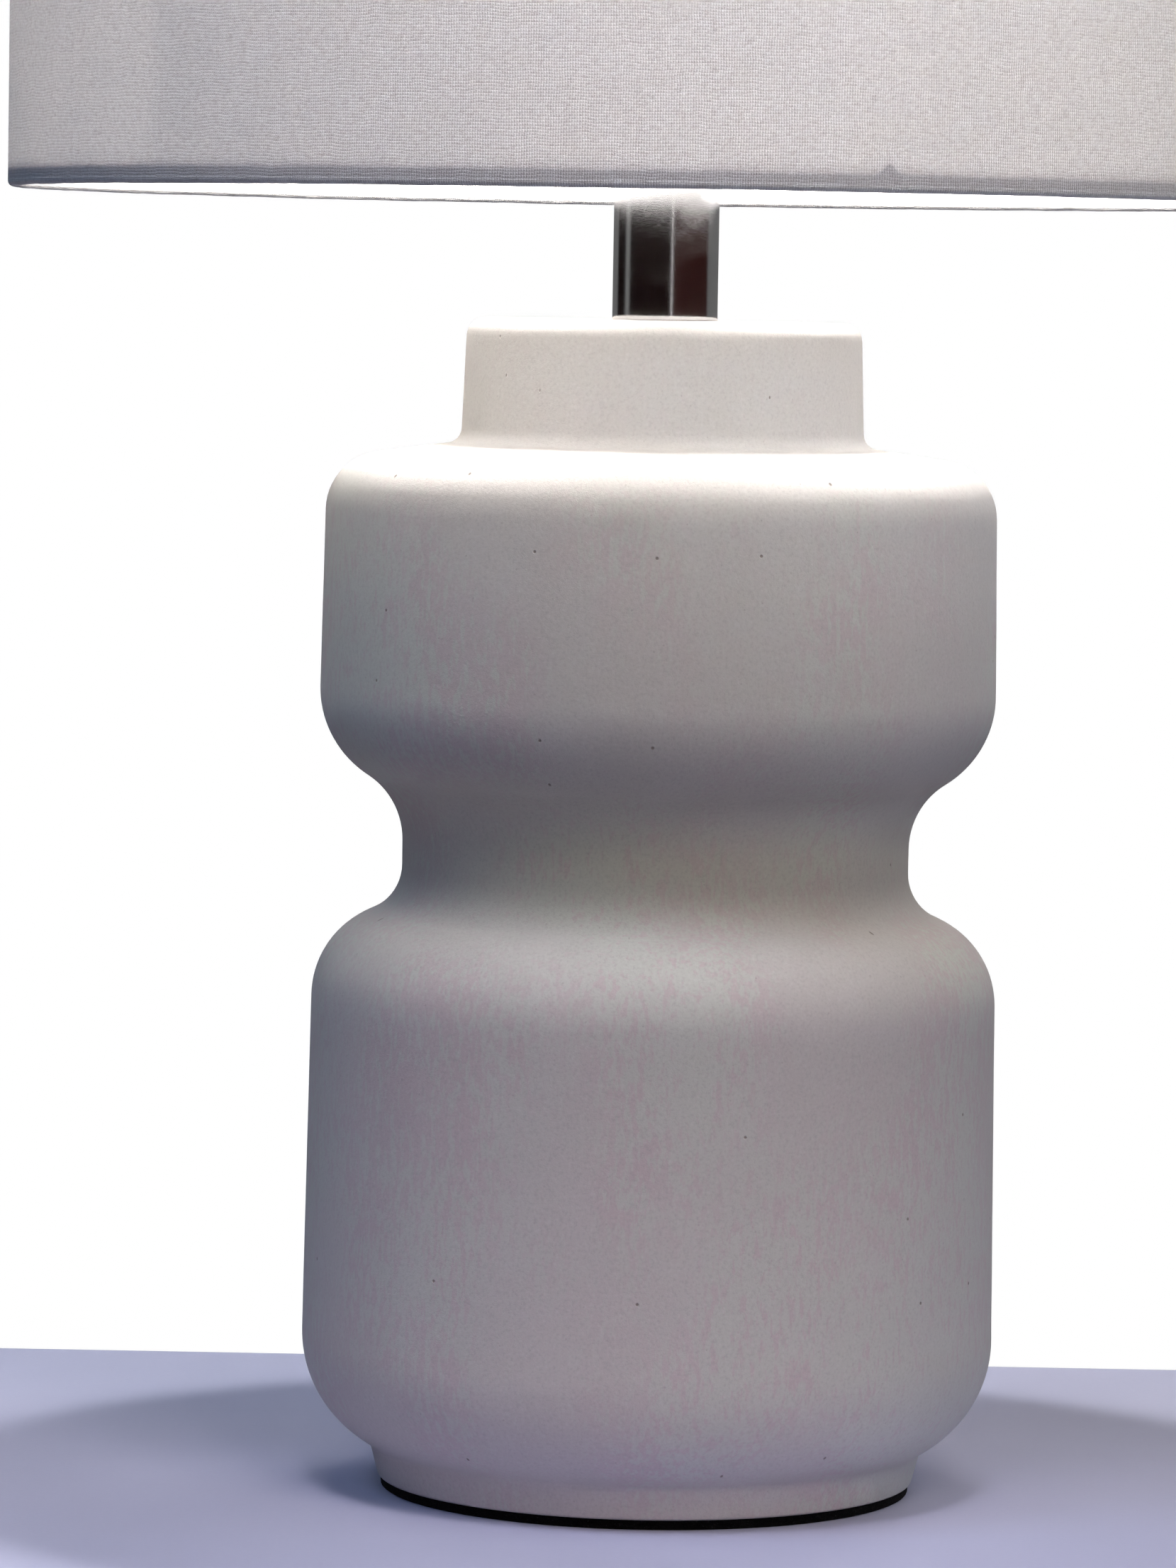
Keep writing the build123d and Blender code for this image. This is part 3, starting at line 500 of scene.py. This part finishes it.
mat = {
    "ceramic": make_ceramic(),
    "felt": make_felt(),
    "chrome": make_metal("chrome_polished", (0.80, 0.80, 0.815), (0.66, 0.65, 0.66), 0.12, (1.0, 1.0, 6.0), 700.0, 0.05, 0.78, 0.18),
    "nickel": make_metal("nickel_satin", (0.66, 0.63, 0.585), (0.47, 0.44, 0.40), 0.24, (1.0, 1.0, 5.0), 900.0, 0.16),
    "brass": make_metal("brass_turned", (0.76, 0.56, 0.25), (0.48, 0.32, 0.13), 0.27, (1.0, 1.0, 5.0), 1000.0, 0.16, 0.0, 0.4),
    "zinc_steel": make_metal("zinc_plate", (0.62, 0.63, 0.65), (0.42, 0.43, 0.47), 0.33, (1.0, 1.0, 1.0), 700.0, 0.22, 0.0, 0.5),
    "cap_aluminium": make_metal("cap_aluminium", (0.76, 0.76, 0.765), (0.56, 0.56, 0.58), 0.29, (1.0, 1.0, 4.0), 1100.0, 0.18),
    "ring_wire": make_plain("wire_white_coat", (0.72, 0.71, 0.69), (0.82, 0.81, 0.79), 0.42, 900.0, 2.0, 0.25, 0.0001, 0.45, 0.1),
    "black_rubber": make_plain("rubber_black", (0.014, 0.014, 0.014), (0.040, 0.039, 0.039), 0.78, 800.0, 4.0, 0.4, 0.0002, 0.2),
    "fibre": make_plain("fibre_sleeve", (0.30, 0.185, 0.11), (0.46, 0.31, 0.20), 0.85, 700.0, 4.0, 0.5, 0.0003, 0.2, 0.0, (0.22, 0.14, 0.09)),
    "phenolic": make_plain("phenolic_moulded", (0.024, 0.020, 0.018), (0.060, 0.052, 0.046), 0.52, 500.0, 4.0, 0.3, 0.0002, 0.4),
    "knob_black": make_plain("knob_moulded", (0.012, 0.012, 0.013), (0.036, 0.035, 0.037), 0.34, 900.0, 3.0, 0.25, 0.0001, 0.5, 0.15),
    "black_glass": make_glass_dark(),
    "opal_glass": make_opal(),
    "clear_glass": make_glass_clear(),
    "filament": make_filament(),
    "shade_cloth": make_cloth("shade_cloth_woven", 0.17),
    "shade_hem": make_cloth("shade_hem_woven", 0.0),
    "shade_sheet": make_sheet(),
}

SLOTS = {
    "black_rubber": ["cord_grommet", "rubber_washer"],
    "zinc_steel": ["steel_washer", "hex_nut", "threaded_nipple", "neck_lower_bush", "cap_set_screw", "bulb_contact"],
    "chrome": ["neck_top_cap", "finial"],
    "nickel": ["harp_saddle", "harp_wire", "harp_seat", "ferrule_right", "ferrule_left", "socket_cap", "socket_shell"],
    "fibre": ["socket_liner"],
    "phenolic": ["socket_core", "switch_cam"],
    "brass": ["terminal_screws", "centre_contact", "switch_shaft"],
    "cap_aluminium": ["screw_shell", "bulb_cap"],
    "knob_black": ["switch_knob"],
    "black_glass": ["bulb_insulator"],
    "clear_glass": ["bulb_stem"],
    "filament": ["bulb_filaments"],
    "ring_wire": ["bottom_ring", "top_ring", "spider"],
}
for slot, names in SLOTS.items():
    for n in names:
        for s in nodes[n].material_slots:
            s.material = mat[slot]


# ------------------------------------------------------------------ mesh helpers
def rounded(points, radii, step):
    """Points along a polyline whose inner corners carry these radii, closely spaced."""
    out = [Vector(points[0])]
    last = Vector(points[0])

    def run(a, b):
        n = max(1, int((b - a).length / step + 0.999))
        for i in range(1, n + 1):
            out.append(a.lerp(b, i / n))

    for (a, b, c), r in zip(zip(points, points[1:], points[2:]), radii):
        a, b, c = Vector(a), Vector(b), Vector(c)
        d1, d2 = (b - a).normalized(), (c - b).normalized()
        turn = math.acos(max(-1.0, min(1.0, d1.dot(d2))))
        if r <= 0 or turn < 1e-4:
            run(last, b)
            last = b
            continue
        cut = r * math.tan(turn / 2)
        p1, p2 = b - d1 * cut, b + d2 * cut
        side = 1.0 if d1.x * d2.y - d1.y * d2.x > 0 else -1.0
        centre = p1 + Vector((-d1.y, d1.x)) * r * side
        run(last, p1)
        n = max(4, int(r * turn / min(step, r * 0.25) + 0.999))
        for i in range(1, n + 1):
            ang = side * turn * i / n
            v = p1 - centre
            out.append(centre + Vector((v.x * math.cos(ang) - v.y * math.sin(ang), v.x * math.sin(ang) + v.y * math.cos(ang))))
        last = p2
    run(last, Vector(points[-1]))
    return out


def lathe(name, profile, segments, closed=False, shape=None, body=None, slot=None, stands_for=(), keep=None):
    """Turns a profile of (radius, height) in millimetres round Z. shape(r, z, angle, i) may move each point."""
    verts, faces = [], []
    n = len(profile)
    for s in range(segments):
        a = 2 * math.pi * s / segments
        for i, (r, z) in enumerate(profile):
            if shape:
                r, z = shape(r, z, a, i)
            verts.append((r * math.cos(a) * MM, r * math.sin(a) * MM, z * MM))
    for s in range(segments):
        s2 = (s + 1) % segments
        for i in range(n if closed else n - 1):
            j = (i + 1) % n
            f = (s * n + i, s2 * n + i, s2 * n + j, s * n + j)
            if keep is None or keep([verts[k] for k in f]):
                faces.append(f)
    return finish_mesh(name, verts, faces, body, slot, stands_for)


def finish_mesh(name, verts, faces, body, slot, stands_for):
    me = bpy.data.meshes.new(name)
    me.from_pydata(verts, [], faces)
    me.validate()
    me.polygons.foreach_set("use_smooth", [True] * len(me.polygons))
    me.update()
    ob = bpy.data.objects.new(name, me)
    scene.collection.objects.link(ob)
    if slot:
        me.materials.append(mat[slot])
    if body:
        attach(ob, body)
    if stands_for:
        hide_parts(*stands_for)
    return ob


def wobble(a, k, seed, r=1.0, z=0.0):
    """Smooth noise round the circle, k features to a turn, from about -1 to 1."""
    rad = k / (2 * math.pi)
    return noise.noise(Vector((math.cos(a) * rad, math.sin(a) * rad, z + seed * 17.31)))


# ------------------------------------------------------------------ ceramic body
SIDE = [
    (73.9, 11.5), (92.64, 23.86), (91.2, 146.98), (67.6, 157.84), (67.6, 184.53),
    (90.26, 199.01), (89.1, 274.53), (53.58, 279.64), (52.45, 312.6),
]
WALL = 5.0


def inset(points, d):
    lines = []
    for (x1, y1), (x2, y2) in zip(points, points[1:]):
        n = math.hypot(x2 - x1, y2 - y1)
        ux, uy = (x2 - x1) / n, (y2 - y1) / n
        lines.append((x1 - uy * d, y1 + ux * d, ux, uy))
    out = [lines[0][:2]]
    for (ax, ay, aux, auy), (bx, by, bux, buy) in zip(lines, lines[1:]):
        k = ((bx - ax) * buy - (by - ay) * bux) / (aux * buy - auy * bux)
        out.append((ax + aux * k, ay + auy * k))
    return out


outer = rounded([(56.0, 2.6), (71.6, 2.6)] + SIDE + [(7.0, 312.6)], [1.2, 4.0, 33.0, 24.6, 13.6, 21.0, 27.3, 15.6, 4.25, 5.0], 1.7)
hollow = inset(SIDE + [(0, 312.6)], WALL)
(u0, v0), (u1, v1) = hollow[:2]
floor_r = u0 + (u1 - u0) * (16.5 - v0) / (v1 - v0)
inner = rounded([(56.0, 16.5), (floor_r, 16.5)] + hollow[1:] + [(7.0, 307.6)], [1.5, 27.0, 19.5, 18.5, 25.8, 22.0, 10.5, 9.0, 3.0], 4.0)
profile = outer + inner[::-1]
n_outer = len(outer)


def cast_shape(r, z, a, i):
    # slip casting is never quite true: a slight swing and unevenness, and none where metal or felt meets it
    if 6 < z < 309 and i < n_outer:
        k = min(1.0, (z - 6) / 12, (309 - z) / 6)
        r += k * (0.10 * wobble(a, 3, 1, z=z * 0.012) + 0.05 * wobble(a, 13, 2, z=z * 0.06))
    return r, z


def not_inlet(vs):
    # the cord inlet, whose edge is under the bush's flange
    return not all(v[1] > 0.05 and math.hypot(v[0], v[2] - 0.046) < 0.0074 for v in vs)


ceramic = lathe(
    "ceramic_body", profile, 320, closed=True, shape=cast_shape, body="base", slot="ceramic",
    stands_for=("ceramic_lower", "ceramic_upper", "ceramic_collar"), keep=not_inlet,
)

# ------------------------------------------------------------------ felt pad
pad_profile = rounded(
    [(0.05, 2.55), (70.9, 2.55), (70.9, 0.02), (0.05, 0.02)], [0.45, 0.7], 0.5
)


def felt_shape(r, z, a, i):
    if r > 66:
        k = min(1.0, (r - 66) / 4)
        r += k * (0.16 * wobble(a, 22, 5, z=z * 0.4) + 0.10 * wobble(a, 150, 6, z=z * 2.0) - 0.12)
    return r, z


felt = lathe("felt_pad_cut", pad_profile, 420, closed=False, shape=felt_shape, body="base", slot="felt", stands_for=("felt_pad",))

# ------------------------------------------------------------------ neck tube
tube_profile = rounded(
    [(12.75, 312.7), (14.0, 312.62), (14.0, 362.6), (12.75, 362.6)], [0.28, 0.3], 1.2
) + [Vector((12.75, 338.0))]
tube = lathe("neck_tube_drawn", tube_profile, 192, closed=True, body="base", slot="chrome", stands_for=("neck_tube",))

# ------------------------------------------------------------------ bulb globe
neck_c = Vector((55.0, 443.0))
neck_r = 41.7
globe_c = Vector((0.0, 489.0))
join = globe_c + (neck_c - globe_c).normalized() * 30.0
globe_profile = []
a0 = math.pi
a1 = math.atan2(join.y - neck_c.y, join.x - neck_c.x)
for i in range(15):
    ang = a0 + (a1 - a0) * i / 14
    globe_profile.append(neck_c + Vector((math.cos(ang), math.sin(ang))) * neck_r)
b0 = math.atan2(join.y - globe_c.y, join.x - globe_c.x)
for i in range(1, 41):
    ang = b0 + (math.pi / 2 - 0.004 - b0) * i / 40
    globe_profile.append(globe_c + Vector((math.cos(ang), math.sin(ang))) * 30.0)
globe = lathe("bulb_globe_blown", globe_profile, 72, body="bulb", slot="opal_glass", stands_for=("bulb_globe",))

# ------------------------------------------------------------------ shade cloth and its backing
R_CLOTH = 174.55
LAP = 12.0


def strip(name, radius, z1, z2, cols, rows, lap, lift, sway, slot, stands_for):
    """A sheet rolled into a drum and lapped at the back, as one layer."""
    length = 2 * math.pi * radius + lap
    verts, faces = [], []
    for c in range(cols + 1):
        s = length * c / cols
        a = math.pi / 2 + (lap / 2 - s) / radius
        k = max(0.0, min(1.0, (s - (length - lap - 5.0)) / 5.0))
        up = lift * k * k * (3 - 2 * k) + (-lift * 0.3 if s < lap else 0.0)
        for i in range(rows + 1):
            z = z1 + (z2 - z1) * i / rows
            edge = min(1.0, (z - z1) / 14.0, (z2 - z) / 14.0)
            r = radius + up + sway * edge * (wobble(a, 9, 11, z=z * 0.016) + 0.5 * wobble(a, 26, 12, z=z * 0.03))
            verts.append((r * math.cos(a) * MM, r * math.sin(a) * MM, z * MM))
    n = rows + 1
    for c in range(cols):
        for i in range(rows):
            faces.append((c * n + i, c * n + i + 1, (c + 1) * n + i + 1, (c + 1) * n + i))
    return finish_mesh(name, verts, faces, "shade", slot, stands_for)


cloth = strip("shade_cloth_drum", R_CLOTH, 346.7, 563.1, 640, 44, LAP, 0.34, 0.16, "shade_cloth", ("shade_cover",))
backing = strip("shade_backing_drum", 173.75, 345.9, 563.9, 420, 24, 8.0, 0.0, 0.05, "shade_sheet", ("shade_liner",))

# ------------------------------------------------------------------ hems
HEM_HALF = 0.18
JOIN = 1.8                      # where the drum's cloth goes over into the turned part


def hem(name, z_edge, up, stands_for, seed):
    """The cloth's turn round the ring wire: up is 1 for the bottom rim and -1 for the top.

    It goes on flush from the drum, round under the wire and up inside as a short flap."""
    rc = R_CLOTH - HEM_HALF
    path = rounded([(rc, JOIN), (rc, 0.22), (170.45, 0.22), (170.45, 7.0)], [1.35, 2.3], 0.35)
    left, right = [], []
    for i, p in enumerate(path):
        d = (path[min(i + 1, len(path) - 1)] - path[max(i - 1, 0)]).normalized()
        nrm = Vector((-d.y, d.x))
        h = HEM_HALF * (0.55 if i == len(path) - 1 else 1.0)
        left.append(p + nrm * h)
        right.append(p - nrm * h)
    prof = left + right[::-1]
    n = len(path)

    def shape(r, h, a, i):
        k = i if i < n else 2 * n - 1 - i
        t_in = max(0.0, (k - n * 0.55) / (n * 0.45))  # on the flap inside
        low = max(0.0, 1.0 - max(0.0, h) / JOIN) if k < n * 0.6 else 0.0
        # the fold is not quite level, frays a little, and the flap inside puckers
        h += low * (0.10 * wobble(a, 30, seed + 2) + 0.09 * wobble(a, 110, seed + 3) + 0.07 * wobble(a, 460, seed + 1) + 0.10)
        r += low * (0.05 * wobble(a, 55, seed + 4) - 0.02)
        r += t_in * (0.28 * wobble(a, 64, seed + 5) + 0.16 * wobble(a, 150, seed + 6)) + t_in * 0.05
        h += t_in * (0.45 * wobble(a, 26, seed + 7) + 0.12 * wobble(a, 500, seed + 8))
        if up > 0:
            # a tag of the turn that stands up, near the front
            d = (a - FLAW + math.pi) % (2 * math.pi) - math.pi
            g = math.exp(-((d * 171.0) / 1.25) ** 2)
            h += 2.6 * g * t_in
            r += 1.9 * g * t_in
        return min(r, 175.0), z_edge + up * h

    ob = lathe(name, prof, 1500, closed=True, shape=shape, body="shade", slot="shade_hem", stands_for=stands_for)
    if up < 0:
        ob.data.flip_normals()
    return ob


hem_low = hem("shade_hem_low", 344.9, 1.0, ("bottom_hem",), 20)
hem_top = hem("shade_hem_top", 564.9, -1.0, ("top_hem",), 40)

# ------------------------------------------------------------------ floor
floor_me = bpy.data.meshes.new("stage_floor")
BACK = 0.226
half, front, thick = 0.50, -0.30, 0.03
pts = [(-half, front), (half, front), (half, BACK), (-half, BACK)]
floor_me.from_pydata(
    [(x, y, 0.0) for x, y in pts] + [(x, y, -thick) for x, y in pts],
    [],
    [(0, 1, 2, 3), (7, 6, 5, 4), (0, 4, 5, 1), (1, 5, 6, 2), (2, 6, 7, 3), (3, 7, 4, 0)],
)
floor_me.materials.append(make_floor())
floor = bpy.data.objects.new("stage_floor", floor_me)
scene.collection.objects.link(floor)

# ------------------------------------------------------------------ world and lights
world = bpy.data.worlds.new("studio")
scene.world = world
world.use_nodes = True
w = Tree(world.node_tree)
path = w.node("ShaderNodeLightPath")
dirn = w.xyz(w.node("ShaderNodeTexCoord").outputs["Generated"])
behind = w.ramp(dirn[1], -0.15, 0.55, 0.0, 1.0)
soft = w.mix(behind, (0.006, 0.006, 0.006), (0.012, 0.012, 0.012))
# what polished metal sees: a dim room in front, paler walls to the sides and behind, a light ceiling
far = w.sub(dirn[1], w.ramp(dirn[0], -0.1, 0.1, 0.60, 0.24))
room = w.mix(w.ramp(dirn[0], 0.20, 0.30), (0.0030, 0.0006, 0.0006), (0.022, 0.006, 0.005))
room = w.mix(w.ramp(far, 0.0, 0.05), room, (0.135, 0.135, 0.133))
line = w.mul(w.mul(w.ramp(dirn[1], -0.12, -0.02), w.ramp(dirn[1], 0.08, 0.20, 1.0, 0.0)), w.ramp(dirn[0], -0.6, -0.5, 1.0, 0.0))
room = w.mix(line, room, (0.19, 0.19, 0.185))
room = w.mix(w.ramp(dirn[2], 0.38, 0.70), room, (0.52, 0.52, 0.53))
room = w.mix(w.ramp(dirn[2], -0.65, -0.35, 1.0, 0.0), room, (0.16, 0.16, 0.175))
amb = w.mix(path.outputs["Is Glossy Ray"], soft, room)
seen = w.mix(path.outputs["Is Camera Ray"], amb, (1.0, 1.0, 1.0))
bg = w.node("ShaderNodeBackground", {"Color": seen, "Strength": 1.0})
wo = w.node("ShaderNodeOutputWorld")
w.put(wo.inputs["Surface"], bg.outputs[0])


def area(name, at, to, size, power, colour, glossy=True, size_y=None):
    d = bpy.data.lights.new(name, "AREA")
    d.shape = "RECTANGLE"
    d.size, d.size_y = size, size_y or size
    d.energy = power
    d.color = colour
    ob = bpy.data.objects.new(name, d)
    ob.location = at
    ob.rotation_mode = "QUATERNION"
    ob.rotation_quaternion = (Vector(to) - Vector(at)).to_track_quat("-Z", "Y")
    ob.visible_glossy = glossy
    scene.collection.objects.link(ob)
    return ob


def around(az, el, d=2.2):
    """A place d from the lamp's middle, az degrees to the right of the front and el degrees up."""
    a, e = math.radians(az), math.radians(el)
    return (d * math.sin(a) * math.cos(e), -d * math.cos(a) * math.cos(e), 0.25 + d * math.sin(e))


MIDDLE = (0.0, 0.0, 0.25)
area("key_right", around(26, 37), MIDDLE, 0.9, 15.4, (1.0, 0.880, 0.730), glossy=False)
area("top_soft", around(0, 60), MIDDLE, 0.9, 4.6, (1.0, 0.970, 0.760), glossy=False)
area("fill_left", around(-58, 47), MIDDLE, 0.9, 10.2, (0.44, 0.65, 1.0), glossy=False)
area("rim_right", around(150, 20), MIDDLE, 0.9, 14.5, (1.0, 0.965, 0.930), glossy=False)
area("side_right", around(85, 20), MIDDLE, 0.9, 5.5, (0.56, 0.78, 1.0), glossy=False)
area("rim_left", around(-150, 20), MIDDLE, 0.9, 2.6, (0.86, 1.0, 0.90), glossy=False)
low = area("foot_low", (0.10, -1.30, 0.16), (0.0, 0.0, 0.02), 0.30, 0.018, (1.0, 0.82, 0.84), glossy=False, size_y=0.10)
low.data.spread = math.radians(14)
wash = area("shade_wash", (0.52, -1.85, 0.96), (0.0, 0.0, 0.42), 0.30, 0.126, (0.70, 0.79, 1.0), glossy=False)
wash.data.spread = math.radians(14)
near = area("table_near", (0.0, -0.80, 1.30), (0.02, -0.18, 0.0), 0.40, 0.17, (0.92, 0.85, 1.0), glossy=False)
near.data.spread = math.radians(18)
area("strip_line", (0.33, -1.35, 0.36), (0.0, 0.0, 0.33), 0.022, 0.08, (1.0, 0.97, 0.95), glossy=True, size_y=0.5)

# the light of the bulb itself, from the lower half of its glass
glow = bpy.data.lights.new("bulb_light", "POINT")
glow.energy, glow.color, glow.shadow_soft_size = 10.8, (1.0, 0.984, 0.945), 0.0180
lamp = bpy.data.objects.new("bulb_light", glow)
lamp.location = (0.0, 0.0, 0.457)
lamp.visible_camera = False
lamp.visible_glossy = False
glow.use_soft_falloff = False
globe.visible_shadow = False
scene.collection.objects.link(lamp)

# ------------------------------------------------------------------ camera
yaw, pitch, roll = math.radians(0.5488), math.radians(-3.928), math.radians(0.988)
fwd = Vector((-math.sin(yaw) * math.cos(pitch), math.cos(yaw) * math.cos(pitch), math.sin(pitch)))
right = Vector((math.cos(yaw), math.sin(yaw), 0.0))
up = right.cross(fwd)
cx = right * math.cos(roll) + up * math.sin(roll)
cy = -right * math.sin(roll) + up * math.cos(roll)
cam_data = bpy.data.cameras.new("camera")
cam_data.sensor_fit = "VERTICAL"
cam_data.sensor_width = 36.0
cam_data.sensor_height = 36.0
cam_data.lens = 10105.7 / 2212 * 36.0
cam_data.clip_start, cam_data.clip_end = 0.05, 30.0
cam = bpy.data.objects.new("camera", cam_data)
scene.collection.objects.link(cam)
cam.matrix_world = Matrix(
    (
        (cx.x, cy.x, -fwd.x, 0.0),
        (cx.y, cy.y, -fwd.y, -1.9092),
        (cx.z, cy.z, -fwd.z, 0.31977),
        (0.0, 0.0, 0.0, 1.0),
    )
)
scene.camera = cam

bpy.context.view_layer.update()
